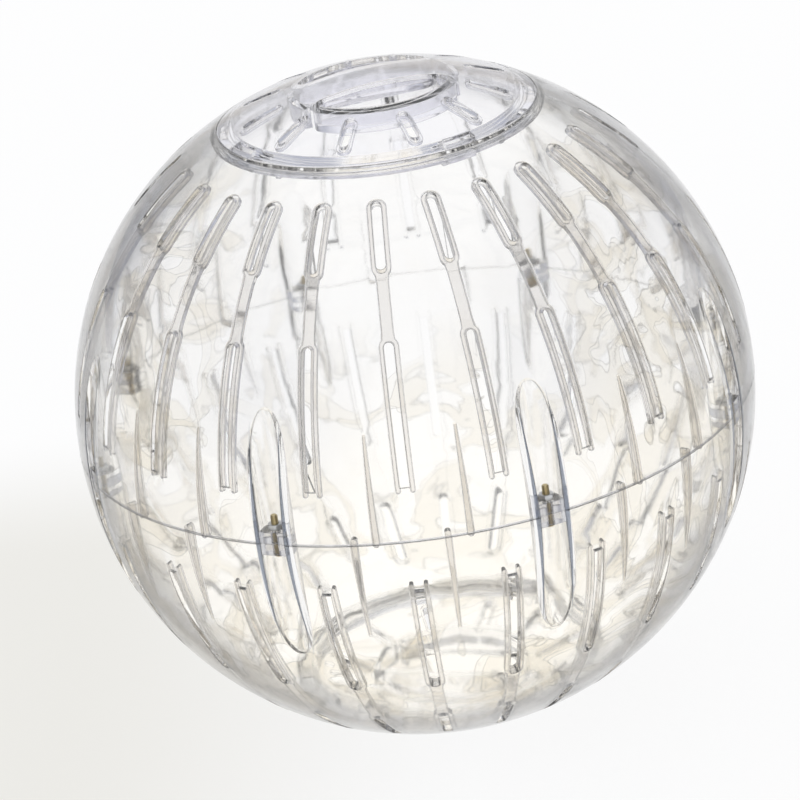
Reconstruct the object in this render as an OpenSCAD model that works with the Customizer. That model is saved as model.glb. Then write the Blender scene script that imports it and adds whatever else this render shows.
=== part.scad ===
// Clear running ball for a small pet: two like half shells, two like
// twist-lock doors, and eight screws with nuts round the seam.
// The origin is the centre of the ball, and +Z is its polar axis, through both doors.

/* [Ball] */
// Outside diameter of the ball
ball_d = 290; // [260:5:330]
// Thickness of the moulded walls
wall = 2.5; // [2:0.1:3]
// Bays round the seam, each with one screw
bay_count = 8; // [4:1:8]
// Slot columns in each bay
slots_per_bay = 3; // [1:1:3]

/* [Air slots] */
// Clear width of an air slot
slot_w = 4; // [3:0.5:5]
// Width of the raised rim on each side of a slot
slot_rim_w = 1.75; // [1:0.25:2]
// Height of the rims and ribs above the inner face
slot_rim_h = 2; // [1:0.25:3]
// Width of the solid rib that joins the two slots of a column
neck_w = 4.6; // [3:0.2:6]
// Length over which that rib spreads into the rims at each end
neck_flare = 5; // [3:0.5:7]
// How far the rims of a long slot run on past its squared end
slot_foot = 1.2; // [0.5:0.1:2]

/* [Fins] */
// Thickness of a locating fin at the seam
fin_t = 2.6; // [1.6:0.2:3.4]
// Thickness of a locating fin at its tip
fin_tip_t = 1.2; // [0.8:0.1:1.6]
// Depth of a fin at the seam, from the inner face
fin_depth = 3.2; // [2:0.2:5]
// How far a fin passes the seam
fin_pass = 2; // [1.8:0.1:3]
// Angle between a fin and the middle of its gap
fin_turn = 1.8; // [1.4:0.1:2.2]
// Clearance between a fin's end and the other shell
fin_gap = 0.15; // [0.05:0.05:0.4]

/* [Screw pockets] */
// Width of a screw pocket at the seam
pocket_w = 10.4; // [9:0.2:12]
// Depth of a screw pocket from the outer face
pocket_depth = 10.5; // [9:0.5:12]
// Draft of the pocket's sides
pocket_draft = 1.4; // [0.2:0.1:2]
// Thickness of one screw lug
lug_h = 5; // [4:0.25:6]
// Step from the outer face down to the lug
lug_set = 0.6; // [0.2:0.1:1.5]
// Distance from the pocket's inner wall to the screw
screw_inset = 5.5; // [5:0.25:6]

/* [Screws and nuts] */
// Thread diameter of the screws
screw_d = 3; // [2.5:0.1:3.4]
// Length of a screw under its head
screw_l = 16; // [15:1:20]
// Diameter of the pan head
head_d = 5.6; // [5:0.1:6.4]
// Height of the pan head
head_h = 2.2; // [1.8:0.1:2.6]
// Width of the cross recess in the head
recess_w = 0.8; // [0.5:0.1:1]
// Span of the cross recess
recess_span = 3; // [2:0.2:3.6]
// Depth of the cross recess
recess_depth = 1.1; // [0.5:0.1:1.4]
// Nut size across the flats
nut_af = 5.5; // [5:0.1:6.2]
// Height of a nut
nut_h = 2.4; // [1.8:0.1:3]
// Clearance round a screw in its lugs
screw_gap = 0.2; // [0.1:0.05:0.4]
// Clearance between a screw and its nut's thread
thread_gap = 0.05; // [0.02:0.01:0.1]

/* [Door opening] */
// Diameter of the opening in the outer face
hole_d = 133.6; // [120:0.8:140]
// Gap round the door
door_gap = 0.4; // [0.2:0.1:0.8]
// Thickness of the door's edge
door_edge_h = 3; // [2.8:0.1:4]
// Width of the ledge that the door sits on
ledge_w = 5.2; // [4.6:0.1:6]
// Thickness of the ledge
ledge_h = 2.2; // [1.6:0.1:3]
// Thickness of the upright step between the opening and the ledge
step_w = 1.6; // [1.2:0.2:2.4]
// Running clearance of the bayonet
run_gap = 0.25; // [0.15:0.05:0.4]
// Number of bayonet lugs
bayonet_count = 4; // [2:1:4]
// Angle that one bayonet lug spans
bayonet_angle = 11.2; // [9:0.2:11.4]
// Clearance angle at each end of a notch or window
notch_slack = 0.6; // [0.3:0.1:1]
// Thickness of a bayonet lug
bayonet_h = 2.5; // [1.8:0.1:3.5]
// Angle that the door turns from locked to free
twist = 12; // [12:0.5:14]
// Angle that a stop under the ledge spans
stop_angle = 2; // [1:0.25:3]

/* [Door] */
// Thickness of the door's skirt
skirt_w = 2; // [1.5:0.1:2.5]
// Number of air slots in the door
door_slot_count = 12; // [8:1:12]
// Land between the skirt and the door's slots
skirt_land = 2.8; // [2:0.2:6]
// Land between the finger wells and the door's slots
well_land = 4.5; // [3:0.5:8]
// Width of the rim round a door slot
door_rim_w = 1; // [0.6:0.1:1.4]
// Height of the rim round a door slot
door_rim_h = 1.2; // [0.6:0.1:2]
// Diameter of the circle that bounds the finger wells
well_d = 65; // [56:1:66]
// Depth of the finger wells
well_depth = 8.5; // [6:0.5:12]
// Width of the grip bar between the wells
bar_w = 24; // [18:1:28]
// Radius of the wells' corners
well_corner = 4; // [3:0.5:5]

/* [Hidden] */
$fn = 96;
// Shares of the angle from the seam to the opening at which the slots begin and end
long_from_share = 0.144;
long_to_share = 0.503;
short_from_share = 0.69;
short_to_share = 0.882;
// Share of the same angle at which a fin has run out
fin_tip_share = 0.286;
// Share of the head's height that its edge takes up, below the dome
head_edge_share = 0.35;
// Overrun of every cut
over = 1;

ball_r = ball_d / 2;
inner_r = ball_r - wall;
// Ribs, fins and pocket walls start half way into the wall, so that they fuse with it
mid_r = ball_r - wall / 2;
rim_r = inner_r - slot_rim_h;

bay_turn = 360 / bay_count;
column_turn = bay_turn / slots_per_bay;
screw_turn = bay_turn / 2;

hole_r = hole_d / 2;
ledge_r = hole_r - ledge_w;
door_r = hole_r - door_gap;
open_lat = acos(hole_r / ball_r);
seat_z = sqrt(ball_r * ball_r - door_r * door_r) - door_edge_h;
ledge_top = seat_z - run_gap;
ledge_bottom = ledge_top - ledge_h;
bayonet_top = ledge_bottom - run_gap;
skirt_bottom = bayonet_top - bayonet_h;
skirt_out = ledge_r - run_gap;
skirt_in = skirt_out - skirt_w;
// A bayonet lug reaches half way over the ledge
bayonet_r = ledge_r + ledge_w / 2;
notch_r = bayonet_r + run_gap;
notch_angle = bayonet_angle + 2 * notch_slack;
// The first notch lies over the middle of a bay, and the locked door has turned back from it
notch_turn = screw_turn + bay_turn / 2;
locked_turn = notch_turn - twist;
door_slot_turn = 360 / door_slot_count;
door_turn = locked_turn - door_slot_turn / 2;
bayonet_turn = 360 / bayonet_count;

well_r = well_d / 2;
well_floor = sqrt(ball_r * ball_r - well_r * well_r) - well_depth;
door_slot_in = well_r + wall + well_land;
door_slot_out = skirt_in - skirt_land;

pocket_r = pocket_w / 2;
pocket_axis_r = ball_r - pocket_depth + pocket_r;
screw_ring_r = ball_r - pocket_depth + screw_inset;

// Shared forms

// Turns what is made on the Z axis out to a point of the sphere, with +X towards the pole
module on_sphere(lat) {
    rotate([0, 90 - lat, 0]) rotate([0, 0, 180]) children();
}

// Repeats a shape at every screw
module each_bay() {
    for (i = [0:bay_count - 1]) rotate([0, 0, screw_turn + i * bay_turn]) children();
}

// Repeats a shape at every bayonet lug or notch
module each_bayonet(turn) {
    for (i = [0:bayonet_count - 1]) rotate([0, 0, turn + i * bayonet_turn]) children();
}

// Part of a tube, spread evenly about the +X axis
module tube_arc(inner, outer, bottom, top, angle) {
    rotate([0, 0, -angle / 2]) rotate_extrude(angle = angle)
        translate([inner, bottom]) square([outer - inner, top - bottom]);
}

// Outline with two round ends
module stadium(length, width) {
    square([length - width, width], center = true);
    for (s = [-1, 1]) translate([s * (length - width) / 2, 0]) circle(d = width);
}

// Outline with a round end towards +X and a square end
module arch(length, width) {
    translate([-length / 2, -width / 2]) square([length - width / 2, width]);
    translate([length / 2 - width / 2, 0]) circle(d = width);
}

// Air slots of a half shell

frame_w = slot_w + 2 * slot_rim_w;
long_lat = open_lat * (long_from_share + long_to_share) / 2;
long_l = 2 * ball_r * sin(open_lat * (long_to_share - long_from_share) / 2);
short_lat = open_lat * (short_from_share + short_to_share) / 2;
short_l = 2 * ball_r * sin(open_lat * (short_to_share - short_from_share) / 2);
neck_lat = open_lat * (long_to_share + short_from_share) / 2;
neck_l = 2 * ball_r * sin(open_lat * (short_from_share - long_to_share) / 2);

// Carries an outline square through the wall at a latitude
module through_wall(lat) {
    on_sphere(lat) translate([0, 0, ball_r - pocket_depth])
        linear_extrude(pocket_depth + over) children();
}

module column_cuts() {
    through_wall(long_lat) arch(long_l, slot_w);
    through_wall(short_lat) stadium(short_l, slot_w);
}

// The rims of a long slot end in two rounded feet just past the slot
module long_frame() {
    translate([slot_rim_w / 2, 0]) arch(long_l + slot_rim_w, frame_w);
    for (s = [-1, 1]) translate([-long_l / 2, s * (frame_w - slot_rim_w) / 2])
        stadium(2 * slot_foot + slot_rim_w, slot_rim_w);
}

// The rib between the two slots, which spreads at each end to the middle of the rims
module neck() {
    end = neck_l / 2 + slot_w / 2;
    waist = neck_l / 2 - neck_flare;
    spread = (slot_w + slot_rim_w) / 2;
    polygon([[-end, -spread], [-waist, -neck_w / 2], [waist, -neck_w / 2], [end, -spread],
        [end, spread], [waist, neck_w / 2], [-waist, neck_w / 2], [-end, spread]]);
}

module column_frames() {
    through_wall(long_lat) long_frame();
    through_wall(short_lat) stadium(short_l + 2 * slot_rim_w, frame_w);
    through_wall(neck_lat) neck();
}

module each_column() {
    each_bay() for (j = [0:slots_per_bay - 1]) rotate([0, 0, (j + 0.5) * column_turn]) children();
}

module rims_and_ribs() {
    intersection() {
        difference() {
            sphere(mid_r);
            sphere(rim_r);
        }
        each_column() column_frames();
    }
}

// Locating fins of a half shell

fin_in_r = inner_r - fin_depth;
fin_top = inner_r * sin(open_lat * fin_tip_share);
// The inner edge is an arc that meets the wall again at the fin's tip
fin_tip_r = sqrt(inner_r * inner_r - fin_top * fin_top);
fin_bend_r = (pow(fin_in_r - fin_tip_r, 2) + fin_top * fin_top) / (2 * (fin_in_r - fin_tip_r));

// Outline in the plane of the polar axis
module fin_side() {
    difference() {
        union() {
            intersection() {
                circle(mid_r);
                translate([inner_r / 2, 0]) square([inner_r, fin_top]);
            }
            intersection() {
                circle(inner_r - fin_gap);
                translate([inner_r / 2, -fin_pass]) square([inner_r, fin_pass]);
            }
        }
        translate([fin_in_r - fin_bend_r, 0]) circle(fin_bend_r);
    }
}

// Outline seen from outside: a round end below the seam, and a long taper above it
module fin_front() {
    start = fin_t / 2 - fin_pass;
    translate([0, start]) circle(d = fin_t);
    polygon([[-fin_t / 2, start], [fin_t / 2, start],
        [fin_tip_t / 2, fin_top], [-fin_tip_t / 2, fin_top]]);
}

module fin() {
    intersection() {
        rotate([90, 0, 0]) linear_extrude(fin_t + over, center = true) fin_side();
        rotate([90, 0, 90]) linear_extrude(ball_r) fin_front();
    }
}

module fins() {
    if (slots_per_bay > 1)
        each_bay() for (j = [1:slots_per_bay - 1]) rotate([0, 0, j * column_turn + fin_turn]) fin();
}

// Screw pockets of a half shell

pocket_top = ball_r * sin(open_lat * long_to_share);

// Channel with a round inner wall. Its sides spread by the draft away from the seam, and it
// leans out by the same angle, so that its inner wall stands upright.
module channel(grow) {
    low_r = pocket_r + grow - pocket_depth * tan(pocket_draft);
    high_r = pocket_r + grow + pocket_top * tan(pocket_draft);
    height = pocket_depth + pocket_top;
    translate([pocket_axis_r, 0, 0]) rotate([0, pocket_draft, 0]) translate([0, 0, -pocket_depth]) {
        cylinder(r1 = low_r, r2 = high_r, h = height);
        rotate([90, 0, 90]) linear_extrude(pocket_depth)
            polygon([[-low_r, 0], [low_r, 0], [high_r, height], [-high_r, height]]);
    }
}

module pocket_walls() {
    intersection() {
        sphere(mid_r);
        cylinder(r = ball_r, h = pocket_top);
        each_bay() channel(wall);
    }
}

// What is cut away above the lug and in front of it
module pocket_cuts() {
    difference() {
        each_bay() channel(0);
        intersection() {
            sphere(ball_r - lug_set);
            translate([0, 0, -over]) cylinder(r = ball_r, h = lug_h + over);
        }
    }
    each_bay() translate([screw_ring_r, 0, -over])
        cylinder(d = screw_d + 2 * screw_gap, h = lug_h + 2 * over);
}

// Half shell

// Section of the wall with the stepped opening for the door
module shell_section() {
    difference() {
        union() {
            difference() {
                circle(ball_r);
                circle(inner_r);
            }
            intersection() {
                circle(mid_r);
                translate([ledge_r, ledge_bottom]) square([hole_r + step_w - ledge_r, ball_r]);
            }
        }
        translate([-ball_r - over, -ball_r - over]) square([ball_r + over, 2 * (ball_r + over)]);
        translate([-over, -ball_r - over]) square([ball_r + 2 * over, ball_r + over]);
        translate([-over, ledge_top]) square([hole_r + over, ball_r]);
        translate([-over, ledge_bottom - over]) square([ledge_r + over, ball_r]);
    }
}

// Ribs under the ledge that stop the bayonet lugs at each end of their travel. The notch's cut
// takes half of the wide one, so that what is left lies flush with the end of the notch.
module stops() {
    locked_stop = -twist - (bayonet_angle + stop_angle) / 2 - notch_slack;
    bottom = skirt_bottom;
    top = ledge_bottom + ledge_h / 2;
    each_bayonet(notch_turn) {
        rotate([0, 0, locked_stop]) tube_arc(ledge_r + run_gap, bayonet_r, bottom, top, stop_angle);
        rotate([0, 0, notch_angle / 2])
            tube_arc(ledge_r + run_gap, bayonet_r, bottom, top, 2 * stop_angle);
    }
}

module half_shell() {
    difference() {
        union() {
            rotate_extrude() shell_section();
            rims_and_ribs();
            pocket_walls();
            fins();
            stops();
        }
        each_column() column_cuts();
        pocket_cuts();
        each_bayonet(notch_turn)
            tube_arc(ledge_r - over, notch_r, skirt_bottom - over, ledge_top + over, notch_angle);
    }
}

// Door

// Section of the domed cap with its thick edge
module cap_section() {
    intersection() {
        circle(ball_r);
        union() {
            difference() {
                translate([0, seat_z]) square([door_r, ball_r]);
                circle(inner_r);
            }
            translate([skirt_in, seat_z]) square([door_r - skirt_in, ball_r]);
        }
    }
}

module skirt_section() {
    intersection() {
        circle(ball_r);
        translate([skirt_in, skirt_bottom]) square([skirt_w, ball_r]);
    }
}

// Half-moon outline of one well, with rounded corners. Its cup is the same outline, grown.
module well_outline(grow) {
    r = well_r + grow;
    side = bar_w / 2 - grow;
    corner = well_corner + grow;
    y = side + corner;
    x = sqrt(pow(r - corner, 2) - y * y);
    reach = r / (r - corner);
    difference() {
        intersection() {
            circle(r);
            translate([-r, side]) square([2 * r, r]);
        }
        for (s = [-1, 1])
            polygon([[s * x, side], [s * x, side - over], [s * (r + over), side - over],
                [s * (r + over), y * reach], [s * x * reach, y * reach]]);
    }
    for (s = [-1, 1]) translate([s * x, y]) circle(corner);
}

module both_wells(grow) {
    for (turn = [0, 180]) rotate([0, 0, turn]) well_outline(grow);
}

// Cups under the wells, and the arcs that close the channel under the grip bar
module well_walls() {
    intersection() {
        sphere(mid_r);
        translate([0, 0, well_floor - wall]) linear_extrude(ball_r - well_floor) {
            both_wells(wall);
            intersection() {
                difference() {
                    circle(well_r + wall);
                    circle(well_r);
                }
                square([2 * ball_r, bar_w], center = true);
            }
        }
    }
}

module each_door_slot() {
    for (i = [0:door_slot_count - 1]) rotate([0, 0, i * door_slot_turn])
        translate([(door_slot_in + door_slot_out) / 2, 0, 0]) children();
}

module door_rims() {
    intersection() {
        difference() {
            sphere(mid_r);
            sphere(inner_r - door_rim_h);
        }
        each_door_slot() linear_extrude(ball_r)
            stadium(door_slot_out - door_slot_in + 2 * door_rim_w, slot_w + 2 * door_rim_w);
    }
}

module door() {
    difference() {
        union() {
            rotate_extrude() cap_section();
            well_walls();
            door_rims();
        }
        each_door_slot() linear_extrude(ball_r + over)
            stadium(door_slot_out - door_slot_in, slot_w);
        translate([0, 0, well_floor]) linear_extrude(ball_r) both_wells(0);
        // The skirt fills the inner part of each window again, so that it is flush with the skirt
        each_bayonet(door_slot_turn / 2)
            tube_arc(skirt_in + skirt_w / 2, notch_r, seat_z - over, ball_r, notch_angle);
    }
    rotate_extrude() skirt_section();
    each_bayonet(door_slot_turn / 2)
        tube_arc(skirt_in + skirt_w / 2, bayonet_r, skirt_bottom, bayonet_top, bayonet_angle);
}

// Screws and nuts

module screw() {
    // The dome starts at the head's edge, as high above its seat as this share of its height
    edge_h = head_h * head_edge_share;
    dome_h = head_h - edge_h;
    dome_r = (pow(head_d / 2, 2) + dome_h * dome_h) / (2 * dome_h);
    tip = screw_d / 6;
    translate([0, 0, -lug_h]) {
        difference() {
            intersection() {
                translate([0, 0, -head_h]) cylinder(d = head_d, h = head_h);
                translate([0, 0, dome_r - head_h]) sphere(dome_r);
            }
            translate([0, 0, -head_h - over]) linear_extrude(recess_depth + over) {
                square([recess_span, recess_w], center = true);
                square([recess_w, recess_span], center = true);
            }
        }
        cylinder(d = screw_d, h = screw_l - tip);
        translate([0, 0, screw_l - tip]) cylinder(d1 = screw_d, d2 = screw_d - 2 * tip, h = tip);
    }
}

module nut() {
    corner_r = nut_af / 2 / cos(30);
    bevel = (corner_r - nut_af / 2) / 2;
    translate([0, 0, lug_h]) difference() {
        intersection() {
            rotate([0, 0, 30]) cylinder(r = corner_r, h = nut_h, $fn = 6);
            rotate_extrude() polygon([[0, 0], [corner_r - bevel, 0], [corner_r, bevel],
                [corner_r, nut_h - bevel], [corner_r - bevel, nut_h], [0, nut_h]]);
        }
        translate([0, 0, -nut_h / 2]) cylinder(d = screw_d + 2 * thread_gap, h = 2 * nut_h);
    }
}

module at_screw(i) {
    rotate([0, 0, screw_turn + (i - 1) * bay_turn]) translate([screw_ring_r, 0, 0]) children();
}

// Pieces

clear_plastic = [0.86, 0.88, 0.86, 0.45];

module upper_shell() {
    color(clear_plastic) half_shell();
}

module lower_shell() {
    color(clear_plastic) rotate([0, 180, 0]) half_shell();
}

module top_door() {
    color(clear_plastic) rotate([0, 0, door_turn]) door();
}

module bottom_door() {
    color(clear_plastic) rotate([0, 180, 0]) rotate([0, 0, door_turn]) door();
}

upper_shell();
lower_shell();
top_door();
bottom_door();
for (i = [1:bay_count]) {
    at_screw(i) color("goldenrod") screw();
    at_screw(i) color("silver") nut();
}
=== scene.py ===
"""Looks of the hamster ball: clear moulded plastic, plated screws and nuts, a pale floor."""

from math import cos, radians, sin, tan

import bmesh
import bpy
import numpy as np
from mathutils import Matrix, Vector


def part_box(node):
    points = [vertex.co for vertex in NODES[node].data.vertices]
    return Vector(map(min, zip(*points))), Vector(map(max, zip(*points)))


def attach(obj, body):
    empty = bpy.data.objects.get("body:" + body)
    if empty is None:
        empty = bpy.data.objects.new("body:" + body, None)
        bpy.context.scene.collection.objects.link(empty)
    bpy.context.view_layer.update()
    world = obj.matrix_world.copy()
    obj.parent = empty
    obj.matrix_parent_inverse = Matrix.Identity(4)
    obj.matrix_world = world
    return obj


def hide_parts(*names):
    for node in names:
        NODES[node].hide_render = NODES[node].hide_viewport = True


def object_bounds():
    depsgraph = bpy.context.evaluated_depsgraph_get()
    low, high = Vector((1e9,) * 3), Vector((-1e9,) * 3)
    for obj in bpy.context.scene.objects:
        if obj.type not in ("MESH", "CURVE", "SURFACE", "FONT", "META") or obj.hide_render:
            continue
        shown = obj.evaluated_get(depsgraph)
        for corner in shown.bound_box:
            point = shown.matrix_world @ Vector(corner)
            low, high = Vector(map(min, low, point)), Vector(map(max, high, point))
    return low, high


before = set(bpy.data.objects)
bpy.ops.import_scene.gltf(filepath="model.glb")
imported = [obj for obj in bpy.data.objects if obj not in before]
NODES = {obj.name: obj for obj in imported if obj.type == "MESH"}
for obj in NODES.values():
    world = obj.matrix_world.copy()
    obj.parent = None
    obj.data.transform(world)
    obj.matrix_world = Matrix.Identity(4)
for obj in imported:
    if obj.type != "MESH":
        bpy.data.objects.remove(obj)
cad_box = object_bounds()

BALL_R = (cad_box[1].z - cad_box[0].z) / 2
WHITE = (1.0, 1.0, 1.0)

# The photograph's view: azimuth, elevation and roll in degrees, distance in metres
VIEW_AZIMUTH = 3.56
VIEW_ELEVATION = 23.20
VIEW_ROLL = 7.80
VIEW_DISTANCE = 10.14 * BALL_R
LENS_MM = 154.7
SENSOR_MM = 36.0
# Where the ball's centre lies in the photograph, in pixels from its top left corner
PHOTO_PX = 800
CENTRE_PX = (415.1, 393.8)

# How far light is followed through the clear walls
BOUNCES = 32
GLOSS_BOUNCES = 16

# The room that gloss and refraction see, as stops of place and tone: by height from the nadir (0) to the
# zenith (1), by the distance aside of the view's plane, and by soft shapes from a noise
ROOM_BY_HEIGHT = [(0.75, 1.0), (0.9, (0.92, 0.93, 0.97)), (1.0, (0.9, 0.91, 0.96))]
ROOM_BY_SIDE = [
    (0.0, 1.0), (0.4, 1.0), (0.54, (0.52, 0.54, 0.6)), (0.85, (0.44, 0.46, 0.55)), (1.0, 0.7),
]
ROOM_BY_SHAPE = [(0.38, (0.86, 0.83, 0.78)), (0.43, 0.97), (0.48, 1.0)]
SHAPE_SCALE = 2.2

# The floor: half its width, its tone, and how much of what is seen of it is its own glow
FLOOR_HALF = 30 * BALL_R
FLOOR_CREAM = (0.85, 0.84, 0.8)
FLOOR_MATTE = (0.95, 0.95, 0.95, 1.0)
FLOOR_GLOW = 1.02
GLOW_SHARE = 0.9
# The cream fades out towards the right and the back
CREAM_X = (-1.3 * BALL_R, 0.1 * BALL_R)
CREAM_Y = (1.2 * BALL_R, 2.4 * BALL_R)
# The floor as seen through the ball, a little over white because the plastic takes some of it
FLOOR_UNDER = (1.16, 1.13, 1.06)
UNDER_REACH = (1.1 * BALL_R, 3.0 * BALL_R)

# The plastic: softened edges, a low wave, and a haze that blurs what lies far behind
EDGE_SOFT = 0.0007
WAVE_SCALE = 32.0
WAVE_H = 0.00025
HAZE = 0.04
PLASTIC_IOR = 1.57
# What one face lets through square on, and painted shade at a slant and at the rim of the ball
CLEAR_TINT = (0.998, 0.996, 0.99)
SLANT_PAINTED_SHADE = (0.27, 0.27, 0.285)
RIM_PAINTED_SHADE = (0.14, 0.14, 0.155)
# Slant, from 0 square on to 1 along the face, where this painted shade begins
SLANT_FROM = 0.52
SLANT_FULL = 0.76
# Painted shade at a slant for the thick rings round the openings, and for the doors a faint tint square on
# and painted shade at a slant
TOP_RING_PAINTED_SHADE = (0.8, 0.8, 0.84)
LOW_RING_PAINTED_SHADE = (0.96, 0.95, 0.93)
RING_SLANT_FROM = 0.45
RING_SLANT_FULL = 0.9
TOP_DOOR_TINT_AND_SLANT_SHADE = ((0.955, 0.955, 0.98), (0.74, 0.74, 0.81))
LOW_DOOR_TINT_AND_SLANT_SHADE = ((0.99, 0.985, 0.975), (0.95, 0.94, 0.92))
# Painted shade on everything raised inside the wall, the slots' rims, ribs and fins, and more painted shade
# on the fins
RIB_PAINTED_SHADE = (0.76, 0.73, 0.7)
FIN_PAINTED_SHADE = (0.75, 0.73, 0.7)
# Painted shade on the lugs, the pockets' side walls and the seam, where light enters them
LUG_PAINTED_SHADE = (0.44, 0.44, 0.47)
POCKET_WALL_PAINTED_SHADE = (0.1, 0.12, 0.165)
SEAM_PAINTED_SHADE = (0.55, 0.55, 0.56)
# Painted shade in dark outlines beside the edges of the near wall, and how far the soft normal must lean
# there
EDGE_PAINTED_SHADE = (0.06, 0.06, 0.065)
EDGE_LEAN = 0.97
# Painted reflections: patches a little creamier than the rest, each with a thin outline
REFLECTION_PATCH_TONE = (0.94, 0.92, 0.875)
REFLECTION_OUTLINE_TONE = (0.5, 0.49, 0.47)
REFLECTION_PATCH_SCALE = 20.0
REFLECTION_PATCH_STOPS = [
    (0.495, 1.0), (0.5, REFLECTION_OUTLINE_TONE), (0.507, REFLECTION_PATCH_TONE),
    (0.6, REFLECTION_PATCH_TONE), (0.605, REFLECTION_OUTLINE_TONE), (0.612, 1.0),
]
# They fade in towards the sides of the ball and below its middle
REFLECTION_PATCH_ASIDE = (0.3 * BALL_R, 0.65 * BALL_R)
REFLECTION_PATCH_LOW = (-0.05 * BALL_R, -0.45 * BALL_R)

# Where the places with painted shade lie in the upper shell: angles within a bay, half widths and heights
BAY_ANGLE = radians(45.0)
FIN_ANGLES = (radians(39.3), radians(54.3))
FIN_HALF_W = 0.0016
FIN_TOP = 0.045
LUG_ANGLE = radians(22.5)
LUG_HALF_W = 0.0052
LUG_TOP = 0.0051
POCKET_DRAFT = radians(1.4)
POCKET_HALF_W = 0.0098
POCKET_TOP = 0.058
WALL_W = 0.002
WALL_TOP = 0.05
SEAM_HALF_W = 0.0003
# Height from which the ring round the opening begins, and where it is all ring
RING_Z = 0.8 * BALL_R
RING_FULL_Z = 1.04 * RING_Z
# Radii that tell the inner faces, the lugs' fronts and the outer face apart
INNER_R = BALL_R - 0.0026
LUG_R = BALL_R - 0.0012
OUTER_R = BALL_R - 0.0003

# The copy of the lower shell: gap at its seam, and distance within which its points are merged
SEAM_GAP = 0.00003
MERGE_DISTANCE = 1e-7
# Edges sharper than this stay sharp in the shading
SHARP_ANGLE = radians(35.0)

# Screws: thread, head, cross recess, shaft and cone at the tip
THREAD_PITCH = 0.0005
THREAD_DEPTH = 0.0003
ROWS_PER_TURN = 6
SCREW_STEPS = 48
HEAD_EDGE_H = 0.0008
HEAD_ROUND = 0.00025
DOME_ROWS = 30
RECESS_W = 0.0008
RECESS_SPAN = 0.003
RECESS_DEPTH = 0.0011
RECESS_SOFT = 0.0002
SHAFT_R = 0.0015
TIP_H = 0.0005
# Nuts: width across flats, bevel, and the sink at each end of the bore
NUT_AF = 0.0055
NUT_STEPS = 96
NUT_BEVEL = radians(30.0)
NUT_FACE_SHARE = 0.96
BORE_R = 0.00155
BORE_SINK = 0.0002
# Share of the nut's height at each row of its flats, closer together over the bevels
NUT_ROWS = (0.0, 0.03, 0.06, 0.1, 0.15, 0.5, 0.85, 0.9, 0.94, 0.97, 1.0)

# Plated steel: yellow zinc on the screws, plain zinc on the nuts, darker in the mottle
SCREW_COLOUR = (0.74, 0.62, 0.36)
NUT_COLOUR = (0.8, 0.81, 0.82)
MOTTLE_SHADE = 0.55
MOTTLE_SCALE = 420.0
GRAIN_SCALE = 1800.0
GRAIN_H = 0.00005
GRAIN_ROUGHNESS = (0.22, 0.42)


def node_maker(tree):
    """A short way to add a node, set its plain sockets and link the others.

    A socket is given by its name, with _ for a space, or by _ and its number.
    """

    def add(kind, settings=None, **inputs):
        node = tree.nodes.new(kind)
        for key, value in (settings or {}).items():
            setattr(node, key, value)
        for key, value in inputs.items():
            name = int(key[1:]) if key[0] == "_" else key.replace("_", " ")
            socket = node.inputs[name]
            if isinstance(value, bpy.types.NodeSocket):
                tree.links.new(value, socket)
            else:
                socket.default_value = value
        return node

    return add


def new_material(name):
    """An empty material and the maker of its nodes."""
    material = bpy.data.materials.new(name)
    material.use_nodes = True
    material.node_tree.nodes.clear()
    return material, node_maker(material.node_tree)


def ramp(add, value, stops):
    """A colour ramp through stops of (place, grey or colour)."""
    node = add("ShaderNodeValToRGB", Fac=value)
    elements = node.color_ramp.elements
    while len(elements) < len(stops):
        elements.new(0.5)
    for element, (place, colour) in zip(elements, stops):
        rgb = (colour,) * 3 if isinstance(colour, (int, float)) else colour
        element.position = place
        element.color = (*rgb, 1.0)
    return node.outputs["Color"]


def mix(add, share, a, b):
    """Colour a where share is 0 and colour b where it is 1. Each is a socket or three numbers."""
    a, b = (c if isinstance(c, bpy.types.NodeSocket) else (*c, 1.0) for c in (a, b))
    return add("ShaderNodeMix", {"data_type": "RGBA"}, _0=share, _6=a, _7=b).outputs[2]


def multiply(add, a, b):
    """Two colours multiplied."""
    settings = {"data_type": "RGBA", "blend_type": "MULTIPLY"}
    return add("ShaderNodeMix", settings, _0=1.0, _6=a, _7=b).outputs[2]


def scalar(add, operation, a, b=0.0):
    """One sum of the given kind."""
    return add("ShaderNodeMath", {"operation": operation}, _0=a, _1=b).outputs[0]


def less(add, a, b):
    """1 where a is less than b, and 0 elsewhere."""
    return scalar(add, "LESS_THAN", a, b)


def more(add, a, b):
    """1 where a is more than b, and 0 elsewhere."""
    return scalar(add, "GREATER_THAN", a, b)


def opposite(add, share):
    """1 less the share."""
    return scalar(add, "SUBTRACT", 1.0, share)


def all_of(add, first, *others):
    """1 where every one of the given values is 1."""
    for other in others:
        first = scalar(add, "MULTIPLY", first, other)
    return first


def smooth_step(add, value, low, high):
    """0 below low, 1 above high and a smooth rise between them."""
    settings = {"interpolation_type": "SMOOTHSTEP"}
    return add("ShaderNodeMapRange", settings, Value=value, From_Min=low, From_Max=high).outputs["Result"]


def length(add, vector):
    return add("ShaderNodeVectorMath", {"operation": "LENGTH"}, _0=vector).outputs["Value"]


def parts_of(add, vector):
    """The X, Y and Z outputs of a vector."""
    return add("ShaderNodeSeparateXYZ", Vector=vector).outputs


def object_place(add):
    return add("ShaderNodeTexCoord").outputs["Object"]


def beside(add, axes, *angles):
    """Distance sideways from the nearest of some angles that come back in every bay."""
    azimuth = scalar(add, "ARCTAN2", axes["Y"], axes["X"])
    nearest = None
    for angle in angles:
        past = scalar(add, "SUBTRACT", azimuth, angle - BAY_ANGLE / 2)
        folded = scalar(add, "FLOORED_MODULO", past, BAY_ANGLE)
        turn = scalar(add, "ABSOLUTE", scalar(add, "SUBTRACT", folded, BAY_ANGLE / 2))
        nearest = turn if nearest is None else scalar(add, "MINIMUM", nearest, turn)
    flat = add("ShaderNodeCombineXYZ", X=axes["X"], Y=axes["Y"]).outputs["Vector"]
    return scalar(add, "MULTIPLY", nearest, length(add, flat))


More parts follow.
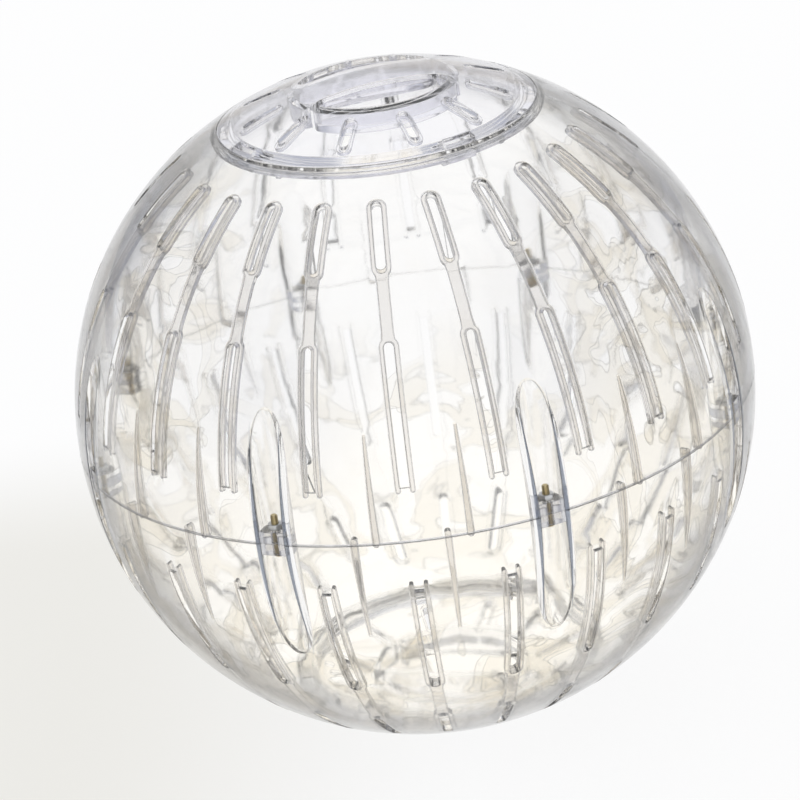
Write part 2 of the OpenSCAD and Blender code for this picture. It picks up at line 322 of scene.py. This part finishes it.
def place_painted_shades(add, placed, leaving):
    """Painted shade on the ribs, fins, lugs, pocket walls and seam, each found by its place, and white
    elsewhere.
    """
    axes = parts_of(add, placed)
    height = axes["Z"]
    reach = length(add, placed)
    entering = opposite(add, leaving)
    outside = more(add, reach, OUTER_R)
    inside = less(add, reach, INNER_R)
    off_fin = beside(add, axes, *FIN_ANGLES)
    fins = all_of(add, leaving, less(add, off_fin, FIN_HALF_W), less(add, height, FIN_TOP), inside)
    off_lug = beside(add, axes, LUG_ANGLE)
    pocket = all_of(add, less(add, off_lug, POCKET_HALF_W), less(add, height, POCKET_TOP))
    ribs = all_of(add, leaving, inside, less(add, height, RING_Z), opposite(add, pocket))
    lugs = all_of(
        add, entering, less(add, off_lug, LUG_HALF_W), less(add, height, LUG_TOP), more(add, reach, LUG_R),
    )
    # The wall starts at the pocket's drafted side and thins out towards its top
    side = scalar(add, "ADD", scalar(add, "MULTIPLY", height, tan(POCKET_DRAFT)), LUG_HALF_W)
    into_wall = scalar(add, "SUBTRACT", off_lug, side)
    taper = scalar(add, "MULTIPLY", scalar(add, "SUBTRACT", WALL_TOP, height), WALL_W / WALL_TOP)
    walls = all_of(add, entering, outside, more(add, into_wall, 0.0), less(add, into_wall, taper))
    seam = all_of(add, entering, outside, less(add, height, SEAM_HALF_W))
    # Painted shade from each place, multiplied together
    tint_and_painted_shade = mix(add, fins, WHITE, FIN_PAINTED_SHADE)
    for share, colour in ((ribs, RIB_PAINTED_SHADE), (lugs, LUG_PAINTED_SHADE), (walls, POCKET_WALL_PAINTED_SHADE), (seam, SEAM_PAINTED_SHADE)):
        tint_and_painted_shade = multiply(add, tint_and_painted_shade, mix(add, share, WHITE, colour))
    return tint_and_painted_shade


def painted_reflection_patches(add, where):
    """Painted reflections: creamy patches with thin outlines, at the sides of the ball and low down, and
    clear elsewhere.
    """
    patch_noise = add(
        "ShaderNodeTexNoise", Vector=where, Scale=REFLECTION_PATCH_SCALE, Detail=2.5, Roughness=0.5, Distortion=1.1,
    )
    patch_tones = ramp(add, patch_noise.outputs["Fac"], REFLECTION_PATCH_STOPS)
    axes = parts_of(add, where)
    aside = smooth_step(add, scalar(add, "ABSOLUTE", axes["X"]), *REFLECTION_PATCH_ASIDE)
    low = smooth_step(add, axes["Z"], *REFLECTION_PATCH_LOW)
    return mix(add, scalar(add, "MAXIMUM", aside, low), WHITE, patch_tones)


def edge_painted_shade(add, where, leaving, soft_normal):
    """Painted shade along the edges of the near wall, where the softened normal leans off the face's own."""
    normal = add("ShaderNodeNewGeometry").outputs["True Normal"]
    product = add("ShaderNodeVectorMath", {"operation": "DOT_PRODUCT"}, _0=soft_normal, _1=normal)
    along = product.outputs["Value"]
    reach = length(add, where)
    entering_outside = all_of(add, opposite(add, leaving), more(add, reach, OUTER_R))
    leaving_inside = all_of(add, leaving, less(add, reach, INNER_R))
    near = scalar(add, "MAXIMUM", entering_outside, leaving_inside)
    return mix(add, all_of(add, near, less(add, along, EDGE_LEAN)), WHITE, EDGE_PAINTED_SHADE)


def clear_plastic(name, square_tint, slant_painted_shade, turned=False, ring_painted_shade=None):
    """Clear polystyrene with a slight haze: softened mould edges, a low wave, and painted reflections in
    patches.

    A face that light enters at a slant gets painted shade, darker towards the rim. A shell, which is given a
    ring shade, also gets painted shade by place: its ribs, fins, lugs, pockets, seam, near edges and the ring
    round its opening. The lower shell's places are turned half a turn about Y, as its moulding is.
    """
    material, add = new_material(name)
    where = object_place(add)
    placed = where
    if turned:
        placed = add("ShaderNodeMapping", Vector=where, Rotation=(0.0, radians(180.0), 0.0)).outputs["Vector"]
    soft_normal = add("ShaderNodeBevel", {"samples": 4}, Radius=EDGE_SOFT).outputs["Normal"]
    waves = add("ShaderNodeTexNoise", Vector=where, Scale=WAVE_SCALE, Detail=1.0, Roughness=0.4)
    bump = add(
        "ShaderNodeBump", Height=waves.outputs["Fac"], Strength=1.0, Distance=WAVE_H, Normal=soft_normal,
    )
    normal = bump.outputs["Normal"]
    slant = add("ShaderNodeLayerWeight", Blend=0.5, Normal=normal).outputs["Facing"]
    # Painted shade on faces that light enters at a slant, darker towards the rim
    entering = ramp(
        add, slant, [(SLANT_FROM, square_tint), (SLANT_FULL, slant_painted_shade), (1.0, RIM_PAINTED_SHADE)],
    )
    leaving = add("ShaderNodeNewGeometry").outputs["Backfacing"]
    # Painted reflections in creamy outlined patches
    tint_and_painted_shade = multiply(add, mix(add, leaving, entering, square_tint), painted_reflection_patches(add, where))
    # Painted shade on the thick ring round the opening, and by place inside the wall
    if ring_painted_shade:
        ring_entering_shade = ramp(add, slant, [(RING_SLANT_FROM, square_tint), (RING_SLANT_FULL, ring_painted_shade)])
        height = parts_of(add, placed)["Z"]
        high = smooth_step(add, height, RING_Z, RING_FULL_Z)
        ring = all_of(add, high, less(add, length(add, where), OUTER_R))
        tint_and_painted_shade = mix(add, ring, tint_and_painted_shade, mix(add, leaving, ring_entering_shade, square_tint))
        tint_and_painted_shade = multiply(add, tint_and_painted_shade, place_painted_shades(add, placed, leaving))
        # Painted shade in dark outlines along the near wall's edges
        tint_and_painted_shade = multiply(add, tint_and_painted_shade, edge_painted_shade(add, where, leaving, soft_normal))
    shader = add(
        "ShaderNodeBsdfPrincipled", Base_Color=tint_and_painted_shade, Roughness=HAZE, IOR=PLASTIC_IOR,
        Transmission_Weight=1.0, Normal=normal,
    )
    add("ShaderNodeOutputMaterial", Surface=shader.outputs["BSDF"])
    return material


def plated_steel(name, colour):
    """Zinc plated steel: a mottled colour, and a fine grain in its gloss and relief."""
    material, add = new_material(name)
    where = object_place(add)
    grain = add("ShaderNodeTexNoise", Vector=where, Scale=GRAIN_SCALE, Detail=3.0).outputs["Fac"]
    mottle = add("ShaderNodeTexNoise", Vector=where, Scale=MOTTLE_SCALE, Detail=2.0).outputs["Fac"]
    dark = tuple(MOTTLE_SHADE * c for c in colour)
    low, high = GRAIN_ROUGHNESS
    rough = add("ShaderNodeMapRange", Value=grain, To_Min=low, To_Max=high)
    bump = add("ShaderNodeBump", Height=grain, Strength=0.3, Distance=GRAIN_H)
    shader = add(
        "ShaderNodeBsdfPrincipled", Base_Color=mix(add, mottle, dark, colour), Metallic=1.0,
        Roughness=rough.outputs["Result"], Normal=bump.outputs["Normal"],
    )
    add("ShaderNodeOutputMaterial", Surface=shader.outputs["BSDF"])
    return material


def dress(node, material):
    """Gives a CAD node's mesh its material."""
    mesh = NODES[node].data
    mesh.materials.clear()
    mesh.materials.append(material)


def place_piece(name, mesh, material):
    """A new object at the origin, of one material."""
    mesh.materials.clear()
    mesh.materials.append(material)
    piece = bpy.data.objects.new(name, mesh)
    bpy.context.scene.collection.objects.link(piece)
    return piece


def ring_mesh(name, rings, loop, material):
    """A closed mesh from a grid of rings (row, step round the axis, xyz).

    Each point is joined to the next along its row, round to the first, and to the one in the next row.
    With loop the last row joins the first again, and otherwise each end row is closed by one point at
    its middle.
    """
    rows, steps = rings.shape[:2]
    ids = np.arange(rows * steps).reshape(rows, steps)
    low, high = (ids, np.roll(ids, -1, axis=0)) if loop else (ids[:-1], ids[1:])
    corners = [low, np.roll(low, -1, axis=1), np.roll(high, -1, axis=1), high]
    faces = np.stack(corners, axis=-1).reshape(-1, 4).tolist()
    points = rings.reshape(-1, 3)
    if not loop:
        points = np.concatenate([points, rings[[0, -1]].mean(axis=1)])
        after = np.roll(ids, -1, axis=1)
        first = np.stack([after[0], ids[0], np.full(steps, rows * steps)], axis=-1)
        last = np.stack([ids[-1], after[-1], np.full(steps, rows * steps + 1)], axis=-1)
        faces += first.tolist() + last.tolist()
    mesh = bpy.data.meshes.new(name)
    mesh.from_pydata(points.tolist(), [], faces)
    mesh.shade_smooth()
    mesh.set_sharp_from_angle(angle=SHARP_ANGLE)
    return place_piece(name, mesh, material)


def round_the_axis(r, z, theta, centre):
    """Rings of radius r and height z, each a grid of rows by steps, set upright on a centre in X and Y."""
    outward = np.arctan2(centre[1], centre[0])
    x = centre[0] + r * np.cos(theta + outward)
    y = centre[1] + r * np.sin(theta + outward)
    return np.stack([x, y, np.broadcast_to(z, r.shape)], axis=-1)


def middle_of(low, high):
    """X and Y of a box's middle."""
    return ((low.x + high.x) / 2, (low.y + high.y) / 2)


def screw_rings(low, high, seat):
    """A pan-head screw, head down: the dome, the head's edge, its seat, the threaded shaft and the tip.

    Dome: height is the sphere's sagitta at each radius, raised by the recess's depth inside a cross.
    Shaft: radius is the core's plus a triangle wave of height over pitch less the turn round the axis,
    so that the ridge climbs one pitch a turn. The ridge fades in from the seat and runs out on the tip's
    cone.
    """
    theta = np.linspace(0.0, 2 * np.pi, SCREW_STEPS, endpoint=False)[None, :]
    centre = middle_of(low, high)
    head_r = (high.x - low.x) / 2
    dome_h = seat - low.z - HEAD_EDGE_H
    dome_r = (head_r**2 + dome_h**2) / (2 * dome_h)
    r = np.linspace(0.03, 1.0, DOME_ROWS)[:, None] * (head_r - HEAD_ROUND / 2) * np.ones_like(theta)
    x = np.abs(r * np.cos(theta))
    y = np.abs(r * np.sin(theta))
    arm_x = np.maximum(x - RECESS_SPAN / 2, y - RECESS_W / 2)
    arm_y = np.maximum(y - RECESS_SPAN / 2, x - RECESS_W / 2)
    inside = np.clip(0.5 - np.minimum(arm_x, arm_y) / RECESS_SOFT, 0.0, 1.0)
    dome_z = low.z + dome_r - np.sqrt(dome_r**2 - r**2) + RECESS_DEPTH * inside
    dome = round_the_axis(r, dome_z, theta, centre)
    core_r = SHAFT_R - THREAD_DEPTH
    edge_r = np.array([head_r, head_r, head_r - HEAD_ROUND, core_r])[:, None] * np.ones_like(theta)
    edge_z = np.array([low.z + dome_h + HEAD_ROUND, seat - HEAD_ROUND, seat, seat])[:, None]
    edge = round_the_axis(edge_r, edge_z, theta, centre)
    turns = (high.z - seat) / THREAD_PITCH
    z = np.linspace(seat, high.z, int(turns * ROWS_PER_TURN))[1:, None]
    phase = (z - seat) / THREAD_PITCH - theta / (2 * np.pi)
    wave = 1.0 - np.abs(2.0 * (phase - np.floor(phase)) - 1.0)
    fade = np.clip((z - seat) / THREAD_PITCH, 0.0, 1.0)
    cone = SHAFT_R - np.clip(z - (high.z - TIP_H), 0.0, TIP_H)
    thread = np.minimum(core_r + THREAD_DEPTH * wave * fade, cone)
    return np.concatenate([dome, edge, round_the_axis(thread, z, theta, centre)])


def nut_rings(low, high):
    """A hexagon nut: a loop of rows up the flats, in over the top, down the bore and out under the base.

    Radius on the flats is the half width over the cosine of the angle from the flat's middle, or the bevel's
    cone where that is less. Every row goes once round the axis.
    """
    theta = np.linspace(0.0, 2 * np.pi, NUT_STEPS, endpoint=False)[None, :]
    centre = middle_of(low, high)
    flat_angle = np.mod(theta + np.pi / 6, np.pi / 3) - np.pi / 6
    hexagon = NUT_AF / 2 / np.cos(flat_angle)
    height = high.z - low.z
    share = np.array(NUT_ROWS)[:, None]
    from_end = np.minimum(share, 1.0 - share) * height
    cone = NUT_AF / 2 * NUT_FACE_SHARE + from_end / tan(NUT_BEVEL)
    flats = round_the_axis(np.minimum(hexagon, cone), low.z + share * height, theta, centre)
    sink_r = BORE_R + BORE_SINK
    bore_r = np.array([sink_r, BORE_R, BORE_R, sink_r])[:, None] * np.ones_like(theta)
    bore_z = np.array([high.z, high.z - BORE_SINK, low.z + BORE_SINK, low.z])[:, None]
    return np.concatenate([flats, round_the_axis(bore_r, bore_z, theta, centre)])


def fit_piece(piece, node):
    """Sets a piece on the ball in place of a CAD node."""
    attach(piece, "ball")
    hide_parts(node)


def make_fasteners(screw_steel, nut_steel):
    """A threaded screw and a bevelled nut for each of the CAD's, in the place of each one's box."""
    seat = -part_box("nut_1")[0].z
    for node in NODES:
        low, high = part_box(node)
        if node.startswith("screw_"):
            rings = screw_rings(low, high, seat)
            fit_piece(ring_mesh(f"threaded_{node}", rings, False, screw_steel), node)
        if node.startswith("nut_"):
            rings = nut_rings(low, high)
            fit_piece(ring_mesh(f"hexagon_{node}", rings, True, nut_steel), node)


def open_seam(material):
    """The lower shell again, with its seam face a hair lower: light then meets air between the two shells.

    The copy is merged and keeps the solid's normals. Height is the solid's own, less the gap at the seam.
    """
    mesh = NODES["lower_shell"].data.copy()
    normals = np.empty(3 * len(mesh.loops), dtype=np.float32)
    mesh.corner_normals.foreach_get("vector", normals)
    merged = bmesh.new()
    merged.from_mesh(mesh)
    bmesh.ops.remove_doubles(merged, verts=merged.verts, dist=MERGE_DISTANCE)
    merged.to_mesh(mesh)
    merged.free()
    mesh.shade_smooth()
    if 3 * len(mesh.loops) == len(normals):
        mesh.normals_split_custom_set(normals.reshape(-1, 3))
    else:
        mesh.set_sharp_from_angle(angle=SHARP_ANGLE)
    points = np.empty(3 * len(mesh.vertices), dtype=np.float32)
    mesh.vertices.foreach_get("co", points)
    height = points[2::3]
    height[np.abs(height) < SEAM_GAP / 10] -= SEAM_GAP
    mesh.vertices.foreach_set("co", points)
    fit_piece(place_piece("lower_shell_at_seam", mesh, material), "lower_shell")


def let_light_through():
    """Light that runs inside the clear walls is followed till it leaves them."""
    cycles = bpy.context.scene.cycles
    cycles.max_bounces = BOUNCES
    cycles.transmission_bounces = BOUNCES
    cycles.glossy_bounces = GLOSS_BOUNCES


def make_camera():
    """The camera at the photograph's view, shifted so that the ball lies where it does there."""
    a, e = radians(VIEW_AZIMUTH), radians(VIEW_ELEVATION)
    back = Vector((sin(a) * cos(e), -cos(a) * cos(e), sin(e)))
    data = bpy.data.cameras.new("camera")
    data.lens = LENS_MM
    data.sensor_width = SENSOR_MM
    data.shift_x = (PHOTO_PX / 2 - CENTRE_PX[0]) / PHOTO_PX
    data.shift_y = (CENTRE_PX[1] - PHOTO_PX / 2) / PHOTO_PX
    data.clip_start = 0.1
    data.clip_end = 50.0
    camera = bpy.data.objects.new("camera", data)
    turn = (-back).to_track_quat("-Z", "Y").to_matrix().to_4x4()
    roll = Matrix.Rotation(radians(-VIEW_ROLL), 4, "Z")
    camera.matrix_world = Matrix.Translation(back * VIEW_DISTANCE) @ turn @ roll
    bpy.context.scene.collection.objects.link(camera)
    bpy.context.scene.camera = camera


def seen_rays(add):
    """1 for camera, glossy and transmission rays, and 0 for the rays that light the object."""
    path = add("ShaderNodeLightPath").outputs
    direct = scalar(add, "MAXIMUM", path["Is Camera Ray"], path["Is Glossy Ray"])
    return scalar(add, "MAXIMUM", direct, path["Is Transmission Ray"])


def make_world():
    """White to the camera. Gloss and refraction see a white tent in a room of soft pale shapes."""
    world = bpy.data.worlds.new("studio")
    bpy.context.scene.world = world
    world.use_nodes = True
    world.node_tree.nodes.clear()
    add = node_maker(world.node_tree)
    direction = add("ShaderNodeTexCoord").outputs["Generated"]
    axes = parts_of(add, direction)
    height = add("ShaderNodeMapRange", Value=axes["Z"], From_Min=-1.0, From_Max=1.0).outputs["Result"]
    by_height = ramp(add, height, ROOM_BY_HEIGHT)
    by_side = ramp(add, scalar(add, "ABSOLUTE", axes["X"]), ROOM_BY_SIDE)
    shapes = add("ShaderNodeTexNoise", Vector=direction, Scale=SHAPE_SCALE, Detail=1.5).outputs["Fac"]
    studio = multiply(add, multiply(add, by_height, by_side), ramp(add, shapes, ROOM_BY_SHAPE))
    seen = mix(add, add("ShaderNodeLightPath").outputs["Is Camera Ray"], studio, WHITE)
    background = add("ShaderNodeBackground", Color=seen, Strength=1.0)
    add("ShaderNodeOutputWorld", Surface=background.outputs[0])


def make_floor():
    """A wide level floor that the ball stands on: white, creamier at the front left, with a faint shadow."""
    corners = [(-1, -1), (1, -1), (1, 1), (-1, 1)]
    mesh = bpy.data.meshes.new("floor")
    points = [(FLOOR_HALF * x, FLOOR_HALF * y, cad_box[0].z) for x, y in corners]
    mesh.from_pydata(points, [], [(0, 1, 2, 3)])
    material, add = new_material("floor_white")
    where = object_place(add)
    axes = parts_of(add, where)
    across = smooth_step(add, axes["X"], *CREAM_X)
    along = smooth_step(add, axes["Y"], *CREAM_Y)
    open_tone = ramp(add, scalar(add, "MAXIMUM", across, along), [(0.0, FLOOR_CREAM), (1.0, WHITE)])
    away = smooth_step(add, length(add, where), *UNDER_REACH)
    under_tone = ramp(add, away, [(0.0, FLOOR_UNDER), (1.0, WHITE)])
    tone = mix(add, add("ShaderNodeLightPath").outputs["Is Transmission Ray"], open_tone, under_tone)
    matte = add("ShaderNodeBsdfDiffuse", Color=FLOOR_MATTE).outputs[0]
    glow = add("ShaderNodeEmission", Color=tone, Strength=FLOOR_GLOW).outputs[0]
    lit = add("ShaderNodeMixShader", _0=GLOW_SHARE, _1=matte, _2=glow).outputs[0]
    shader = add("ShaderNodeMixShader", _0=seen_rays(add), _1=matte, _2=lit).outputs[0]
    add("ShaderNodeOutputMaterial", Surface=shader)
    floor = place_piece("floor", mesh, material)


bpy.context.scene.view_settings.view_transform = "Standard"
let_light_through()
make_camera()
make_world()
make_floor()

dress("upper_shell", clear_plastic("clear_plastic_upper", CLEAR_TINT, SLANT_PAINTED_SHADE, ring_painted_shade=TOP_RING_PAINTED_SHADE))
open_seam(
    clear_plastic("clear_plastic_lower", CLEAR_TINT, SLANT_PAINTED_SHADE, turned=True, ring_painted_shade=LOW_RING_PAINTED_SHADE),
)
dress("top_door", clear_plastic("clear_plastic_top_door", *TOP_DOOR_TINT_AND_SLANT_SHADE))
dress("bottom_door", clear_plastic("clear_plastic_bottom_door", *LOW_DOOR_TINT_AND_SLANT_SHADE))
make_fasteners(plated_steel("screw_steel", SCREW_COLOUR), plated_steel("nut_steel", NUT_COLOUR))
